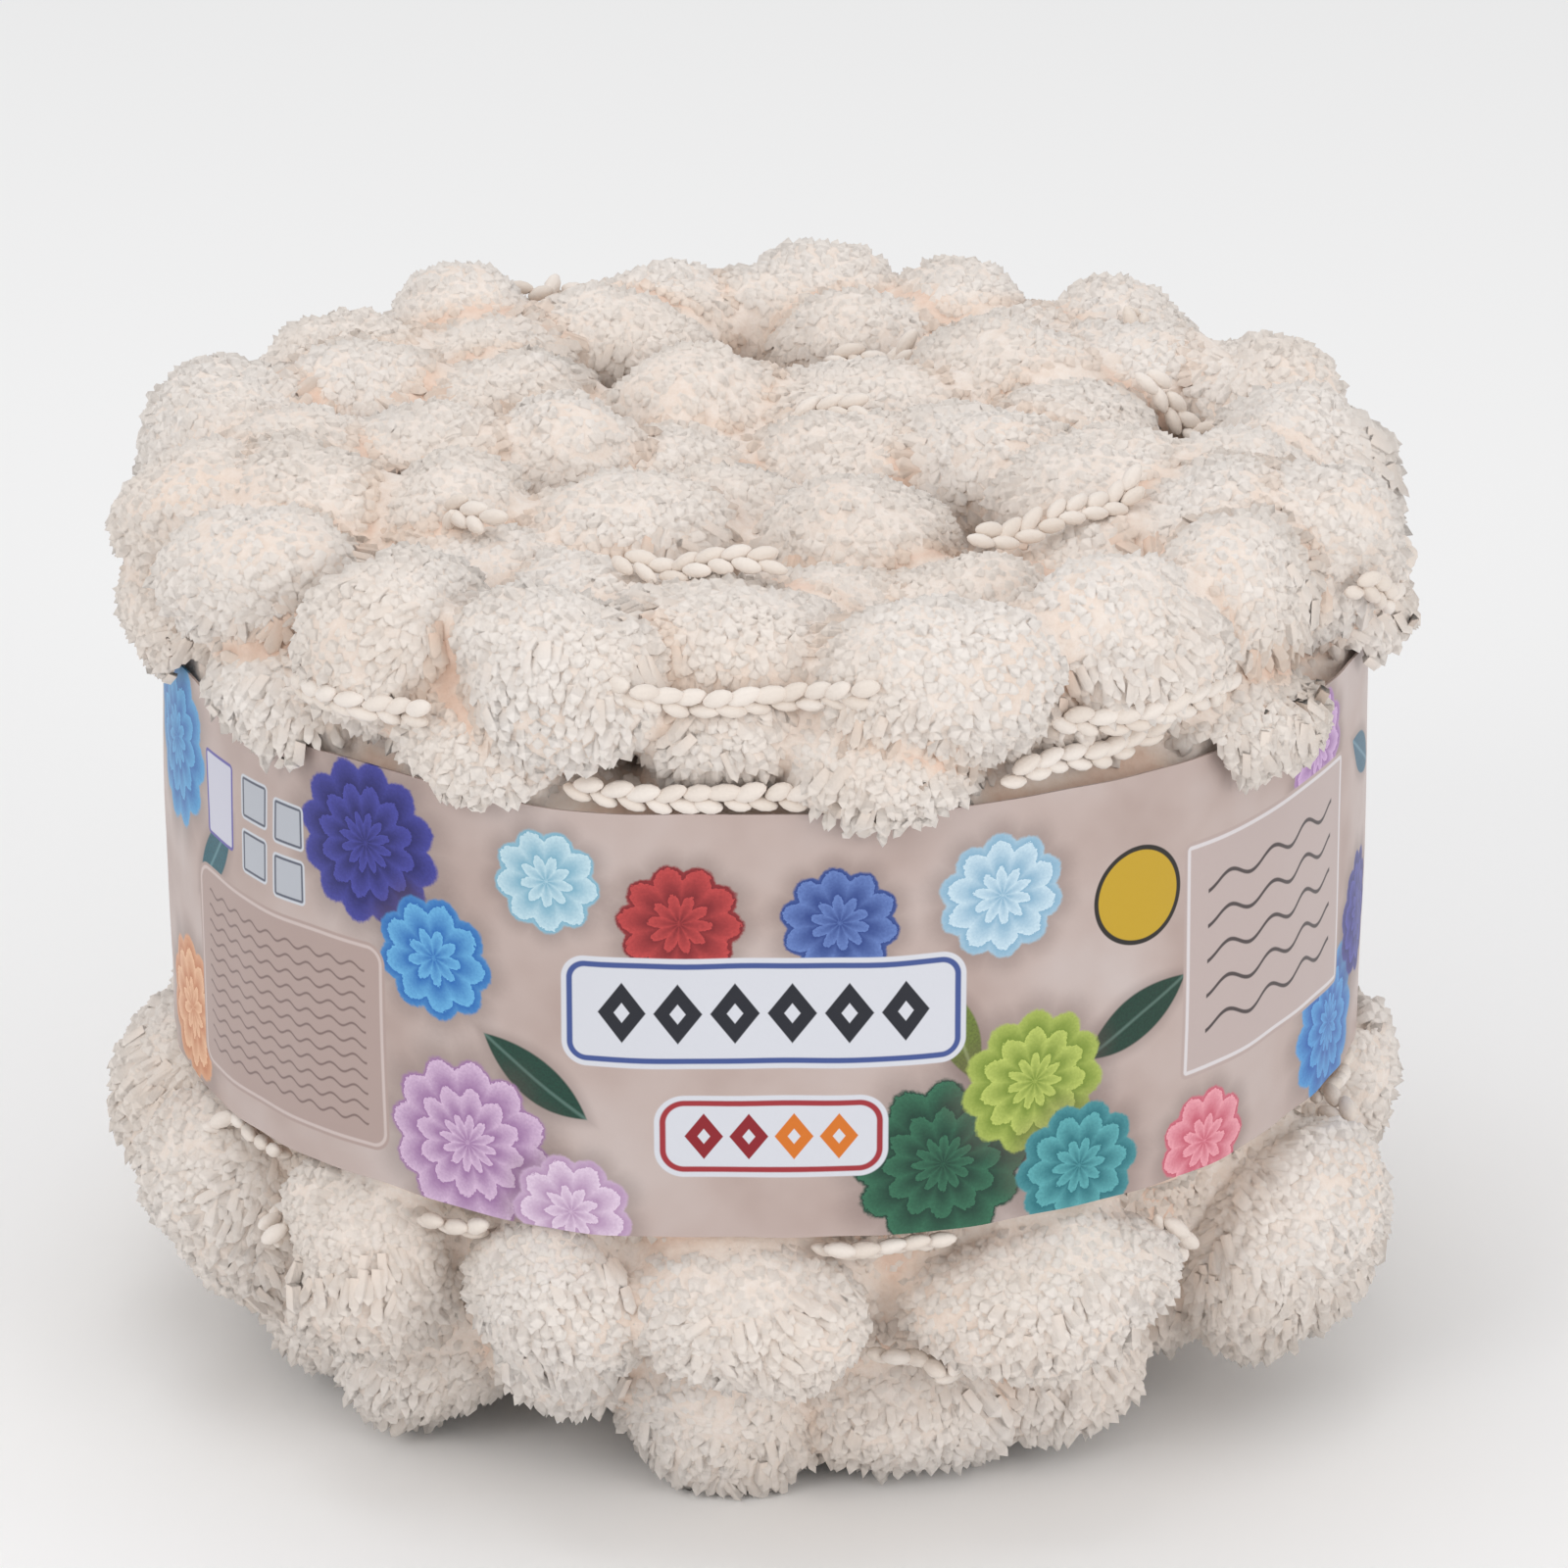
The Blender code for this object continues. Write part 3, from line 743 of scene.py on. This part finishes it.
def print_colour(n, ground_colour):
    """The band's colour: its ground, then each printed motif over it."""
    where = n.add("ShaderNodeUVMap", uv_map="band_mm").outputs[0]
    parts = n.add("ShaderNodeSeparateXYZ")
    n.put(parts.inputs[0], where)
    x = n.math("WRAP", parts.outputs[0], REPEAT / 2, -REPEAT / 2)
    y = parts.outputs[1]
    fibre = n.noise(where, 1.1, 4.0, 0.7)
    fluff = n.math("MULTIPLY", n.math("SUBTRACT", fibre, 0.5), 0.5)
    strands = n.noise(where, 2.6, 2.0, 0.5)
    colour = ground_colour

    def offset(u, v):
        return n.math("SUBTRACT", x, float(u)), n.math("SUBTRACT", y, float(v))

    def length(a, b):
        return n.math("SQRT", n.math("ADD", n.math("MULTIPLY", a, a), n.math("MULTIPLY", b, b)))

    def box(dx, dy, w, h, corner):
        ax = n.math("MAXIMUM", n.math("SUBTRACT", n.math("ABSOLUTE", dx), w - corner), 0.0)
        ay = n.math("MAXIMUM", n.math("SUBTRACT", n.math("ABSOLUTE", dy), h - corner), 0.0)
        return n.math("SUBTRACT", length(ax, ay), float(corner))

    def turned(dx, dy, turn):
        c, k = math.cos(turn), math.sin(turn)
        return n.math("ADD", n.math("MULTIPLY", dx, c), n.math("MULTIPLY", dy, k)), n.math("SUBTRACT", n.math("MULTIPLY", dy, c), n.math("MULTIPLY", dx, k))

    for u, v, long, wide, turn, tint in LEAVES:
        along, over = turned(*offset(u, v), turn)
        part = n.math("DIVIDE", along, float(long))
        edge = n.math("MULTIPLY", n.math("SUBTRACT", 1.0, n.math("MULTIPLY", part, part)), float(wide))
        off = n.math("SUBTRACT", n.math("ABSOLUTE", over), edge)
        colour = n.mix(n.smooth(off, -0.2, 2.2, 0.3, 0.0), colour, linear(92, 70, 66))
        vein = n.smooth(n.math("ABSOLUTE", over), 0.0, 0.45, 0.6, 0.0)
        leaf = n.mix(vein, n.mix(strands, linear(*tint), linear(*(int(0.55 * c) for c in tint))), linear(*(int(0.6 * c + 90) for c in tint)))
        colour = n.mix(n.smooth(off, -0.25, 0.15, 1.0, 0.0), colour, leaf)
    for u, v, size, petals, layers, turn, deep, light in BLOSSOMS:
        dx, dy = offset(u, v)
        share = n.math("DIVIDE", length(dx, dy), float(size))
        wave = n.math("ABSOLUTE", n.math("COSINE", n.math("MULTIPLY_ADD", n.math("ARCTAN2", dy, dx), petals / 2, float(turn))))
        ragged = n.math("ADD", n.math("MULTIPLY_ADD", wave, -0.13, share), n.math("MULTIPLY", fluff, 0.22))
        layer = n.math("FRACT", n.math("ADD", n.math("MULTIPLY_ADD", wave, -0.45, n.math("MULTIPLY", share, float(layers))), n.math("ADD", fluff, 0.35)))
        shade = n.math("MULTIPLY", layer, n.math("MULTIPLY_ADD", strands, 0.9, 0.55))
        petal = n.mix(n.math("MULTIPLY_ADD", shade, 0.85, 0.05, clamp=True), linear(*deep), linear(*light))
        colour = n.mix(n.smooth(ragged, 0.8, 1.3, 0.36, 0.0), colour, linear(92, 70, 66))
        colour = n.mix(n.smooth(ragged, 0.84, 0.9, 1.0, 0.0), colour, petal)
    for u, v, w, h, corner, border, fill, line in PLAQUES:
        edge = box(*offset(u, v), w, h, corner)
        colour = n.mix(n.smooth(edge, -0.1, 0.14, 1.0, 0.0), colour, linear(*fill))
        ring = n.math("ABSOLUTE", n.math("ADD", edge, border * 1.4))
        colour = n.mix(n.smooth(ring, border / 2 - 0.12, border / 2 + 0.12, 1.0, 0.0), colour, linear(*line))
    for u, v, w, h, pitch, thick, tint in WAVES:
        dx, dy = offset(u, v)
        bend = n.math("MULTIPLY_ADD", n.math("SINE", n.math("MULTIPLY", dx, 2.1 / pitch * 1.6)), 0.18, n.math("DIVIDE", dy, float(pitch)))
        line = n.math("ABSOLUTE", n.math("SUBTRACT", n.math("FRACT", n.math("ADD", bend, 0.5)), 0.5))
        stroke = n.smooth(line, (thick - 0.25) / 2 / pitch, (thick + 0.25) / 2 / pitch, 1.0, 0.0)
        within = n.smooth(box(dx, dy, w, h, 1.0), -0.1, 0.1, 1.0, 0.0)
        colour = n.mix(n.math("MULTIPLY", stroke, within), colour, linear(*tint))
    for u, v, w, pitch, h, left, right in LOZENGES:
        dx, dy = offset(u, v)
        along = n.math("ABSOLUTE", n.math("SUBTRACT", n.math("FRACT", n.math("DIVIDE", n.math("ADD", dx, w), float(pitch))), 0.5))
        size = n.math("MULTIPLY_ADD", along, 2.3, n.math("DIVIDE", n.math("ABSOLUTE", dy), float(h)))
        shape = n.math("MULTIPLY", n.smooth(size, 0.96, 1.03, 1.0, 0.0), n.smooth(n.math("ABSOLUTE", dx), w - 0.1, w, 1.0, 0.0))
        shape = n.math("MULTIPLY", shape, n.smooth(size, 0.3, 0.36))
        tint = n.mix(n.smooth(dx, -0.05, 0.05), linear(*left), linear(*right))
        colour = n.mix(shape, colour, tint)
    for u, v, radius, rim, fill, line in DOTS:
        r = length(*offset(u, v))
        colour = n.mix(n.smooth(r, radius - 0.1, radius + 0.1, 1.0, 0.0), colour, linear(*line))
        colour = n.mix(n.smooth(r, radius - rim - 0.1, radius - rim + 0.1, 1.0, 0.0), colour, linear(*fill))
    return colour


def band_material():
    n = Nodes("printed_paper")
    where = n.add("ShaderNodeUVMap", uv_map="band_mm").outputs[0]
    cloudy = n.noise(where, 0.045, 3.0, 0.5)
    base = n.ramp(cloudy, [(0.3, linear(178, 157, 150)), (0.5, linear(192, 174, 168)), (0.7, linear(201, 187, 183))])
    colour = print_colour(n, base)
    n.put(n.shader.inputs["Base Color"], colour)
    n.shader.inputs["Roughness"].default_value = 0.42
    n.shader.inputs["Specular IOR Level"].default_value = 0.4
    n.bump(n.noise(where, 2.0, 3.0), 0.06, 0.0003)
    return n.material


def band_wave(turn):
    return 0.5 + 0.25 * np.sin(7 * turn + 0.6) + 0.25 * np.sin(11 * turn + 2.1)


def band():
    """The strip, once round and a little over itself at the back, with its thickness."""
    rows, paper = 14, 0.35
    first = BAND_SEAM - 360 - BAND_OVERLAP / 2
    columns = 300
    bearings = np.linspace(first, BAND_SEAM + BAND_OVERLAP / 2, columns + 1)
    turn = np.radians(bearings)
    wave = band_wave(turn)
    over = np.clip((bearings - (BAND_SEAM - BAND_OVERLAP / 2 - 5)) / 5, 0, 1)
    over = over * over * (3 - 2 * over) * 0.62
    part = np.linspace(0, 1, rows + 1)
    swell = BAND_BULGE * band_wave(turn + 0.2)[:, None] * np.sin(math.pi * part)[None, :]
    crease = 0.16 * np.sin(23 * turn + 1.0)[:, None] * np.sin(2.2 * math.pi * part + 0.8)[None, :] + 0.12 * np.sin(41 * turn)[:, None] * np.cos(3.1 * math.pi * part)[None, :]
    inner = BAND_RADIUS + 0.42 + swell + over[:, None] + crease * (1 - 0.3 * part)[None, :]
    lift = BAND_EDGE_WAVE * (wave - 0.5) * 2
    level = BAND_BOTTOM + BAND_EDGE_WAVE + lift[:, None] + (BAND_TOP - BAND_BOTTOM - 2 * BAND_EDGE_WAVE) * part[None, :]

    def place(radius):
        return np.stack([radius * np.sin(turn)[:, None], -radius * np.cos(turn)[:, None], level], 2).reshape(-1, 3)

    points = np.concatenate([place(inner + paper), place(inner)])
    n, wide = (columns + 1) * (rows + 1), rows + 1
    quads = []
    for i in range(columns):
        for j in range(rows):
            a = i * wide + j
            quads.append((a, a + wide, a + wide + 1, a + 1))
            quads.append((n + a, n + a + 1, n + a + wide + 1, n + a + wide))
        for j, flip in ((0, False), (rows, True)):
            a = i * wide + j
            q = (a, n + a, n + a + wide, a + wide)
            quads.append(q[::-1] if flip else q)
    for i, flip in ((0, False), (columns, True)):
        for j in range(rows):
            a = i * wide + j
            q = (a, a + 1, n + a + 1, n + a)
            quads.append(q[::-1] if flip else q)
    quads = np.array(quads)
    triangles = np.concatenate([quads[:, [0, 1, 2]], quads[:, [0, 2, 3]]])
    thing = mesh_object("paper_band_printed", points, triangles, band_material())
    along = np.repeat(turn * (BAND_RADIUS + 0.5), wide)
    up = np.tile(part * (BAND_TOP - BAND_BOTTOM), columns + 1)
    flat = np.stack([np.tile(along, 2), np.tile(up, 2)], 1)
    layer = thing.data.uv_layers.new(name="band_mm")
    corners = np.zeros(len(thing.data.loops), np.int32)
    thing.data.loops.foreach_get("vertex_index", corners)
    layer.data.foreach_set("uv", flat[corners].astype(np.float32).ravel())
    thing.data.set_sharp_from_angle(angle=math.radians(50))
    return thing


# ---- build ------------------------------------------------------------------------------------
PILE = pile_material()
points, triangles = ground()
skin = mesh_object("pile_ground", points, triangles, ground_material())
merge = skin.modifiers.new("one skin", "REMESH")
merge.mode = "VOXEL"
merge.voxel_size = 0.0017
merge.use_smooth_shade = True
applied(skin)
co = np.zeros(len(skin.data.vertices) * 3, np.float32)
skin.data.vertices.foreach_get("co", co)
co = co.reshape(-1, 3)
across = np.hypot(co[:, 0], co[:, 1])
held = (across > 0.0832) & (co[:, 2] > (BAND_BOTTOM - 1) * MM) & (co[:, 2] < (BAND_TOP + 1) * MM)
squeeze = np.where(held, 0.0832 / np.maximum(across, 1e-6), 1.0)
co[:, 0] *= squeeze
co[:, 1] *= squeeze
co[:, 2] = np.maximum(co[:, 2], 0.0009)
skin.data.vertices.foreach_set("co", co.ravel())
skin.data.update()
# painted shade: its hollows are darker and warmer, by how near the second nearest pom is and how far it lies from the
# nearest
nearest = np.full((2, len(co)), 1e3)
for _, centre, axes, half in POMS:
    q = ((co / MM - centre) @ axes.T) / half
    apart = (np.linalg.norm(q, axis=1) - 1.0) * half.mean()
    nearest = np.sort(np.vstack([nearest, apart]), axis=0)[:2]
hollow_shade = np.exp(-np.maximum(nearest[1], 0) / HOLLOW) ** 1.6
hollow_shade = np.maximum(hollow_shade, np.clip(nearest[0] / 3.0, 0, 1))
skin.data.attributes.new("pile", "FLOAT", "POINT").data.foreach_set("value", (0.75 - 0.65 * hollow_shade).astype(np.float32))
skin.data.materials.clear()
skin.data.materials.append(bpy.data.materials["pile_ground"])
pieces = [skin]
total = sum(len(p.vertices) - 2 for p in skin.data.polygons)
print("ground", total)

groups = {
    "pile_foot": "foot",
    "pile_under": "under",
    "pile_lower": "lower",
    "pile_overhang": "overhang",
    "pile_brim": "brim",
    "pile_top": "top",
}
sets = {}
for index, pom in enumerate(POMS):
    kind = [name for name, word in groups.items() if word in pom[0]]
    name = kind[0] if kind else "pile_overhang"
    if name != "pile_under":
        name += "_front" if pom[1][1] < 0 else "_back"
    sets.setdefault(name, []).append(pile(pom, index))
outside = outsides(skin)


def uncovered(rows):
    """Only those tufts that can be seen from anywhere."""
    rows = [np.concatenate(column) for column in zip(*rows)]
    seen = ~shaded_from_all_sides(rows, outside)
    return [column[seen] for column in rows]


sets = {name: uncovered(rows) for name, rows in sets.items()}
sets["pile_between"] = uncovered([between(skin, np.concatenate([rows[1] for rows in sets.values()]))])
VIEW = unit(np.array([0.0, -1.0, 0.35]))
for name, rows in sets.items():
    seen = np.ones(len(rows[0]), bool)
    near = seen & (rows[7] @ VIEW > -0.1) & (name != "pile_under")
    parts = []
    for chosen, sides in ((near, 4), (seen & ~near, 3)):
        if chosen.any():
            parts.append(tufts(*(column[chosen] for column in rows[:7]), sides))
    shift = np.cumsum([0] + [len(part[0]) for part in parts])
    points, triangles, along, tones, facing = (
        np.concatenate([part[k] + (shift[i] if k == 1 else 0) for i, part in enumerate(parts)]) for k in range(5)
    )
    points[:, 2] = np.maximum(points[:, 2], 0.1 + 0.5 * tones)
    # the pile value on each tuft's corners carries its painted shade, darker at the root and in the hollows
    pieces.append(mesh_object(name, points, triangles, PILE, values={"pile": along, "tone": tones}, normals=facing))
    total += len(triangles)
    print(name, len(seen), "tufts", len(triangles), "triangles")

points, triangles, tone = chain()
cords = mesh_object("chain_cord", points, triangles, cord_material(), values={"tone": tone})
pieces.append(cords)
print("cord", len(triangles), "all but the band", total + len(triangles))

paper = band()
print("band", len(paper.data.polygons))

for piece in pieces:
    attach(piece, "root")
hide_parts("pompom_yarn")
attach(paper, "root")
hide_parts("paper_band")

# ---- studio --------------------------------------------------------------------------------------
scene = bpy.context.scene
scene.view_settings.view_transform = "Standard"
scene.view_settings.look = "None"
world = bpy.data.worlds.new("studio")
world.use_nodes = True
world.node_tree.nodes["Background"].inputs[0].default_value = (1.0, 1.0, 1.0, 1.0)
world.node_tree.nodes["Background"].inputs[1].default_value = 0.71
scene.world = world

floor_mesh = bpy.data.meshes.new("floor")
floor_mesh.from_pydata([(-6, -6, 0), (6, -6, 0), (6, 6, 0), (-6, 6, 0)], [], [(0, 1, 2, 3)])
floor = bpy.data.objects.new("floor", floor_mesh)
scene.collection.objects.link(floor)
white = Nodes("studio_floor")
white.shader.inputs["Base Color"].default_value = (0.95, 0.95, 0.95, 1.0)
white.shader.inputs["Roughness"].default_value = 0.9
white.shader.inputs["Specular IOR Level"].default_value = 0.0
floor_mesh.materials.append(white.material)


def lamp(name, place, target, size, power, colour):
    data = bpy.data.lights.new(name, "AREA")
    data.shape = "DISK"
    data.size = size
    data.energy = power
    data.color = colour
    thing = bpy.data.objects.new(name, data)
    thing.location = place
    thing.rotation_euler = (Vector(target) - Vector(place)).to_track_quat("-Z", "Y").to_euler()
    scene.collection.objects.link(thing)
    return thing


lamp("top_soft", (-0.15, 0.15, 1.3), (0, 0, 0.06), 0.9, 2.9, (0.97, 0.98, 1.0))
lamp("front_left", (-0.9, -1.1, 0.9), (0, 0, 0.06), 0.8, 4.0, (1.0, 0.99, 0.975))
lamp("front_right", (1.0, -1.0, 0.5), (0, 0, 0.06), 0.8, 4.1, (1.0, 0.99, 0.98))

# camera: 1.037 m from the ball, 21.1 degrees above it, its long lens matching the photo's framing
distance, lift = 1.037, math.radians(21.1)
look = Vector((0.00285, 0.0004, 0.0785))
camera_data = bpy.data.cameras.new("camera")
camera_data.sensor_width = 36.0
camera_data.lens = 7442.0 / 1600.0 * 36.0
camera_data.clip_end = 20.0
camera = bpy.data.objects.new("camera", camera_data)
camera.location = look + Vector((0, -math.cos(lift), math.sin(lift))) * distance
camera.rotation_euler = (look - camera.location).to_track_quat("-Z", "Y").to_euler()
scene.collection.objects.link(camera)
scene.camera = camera
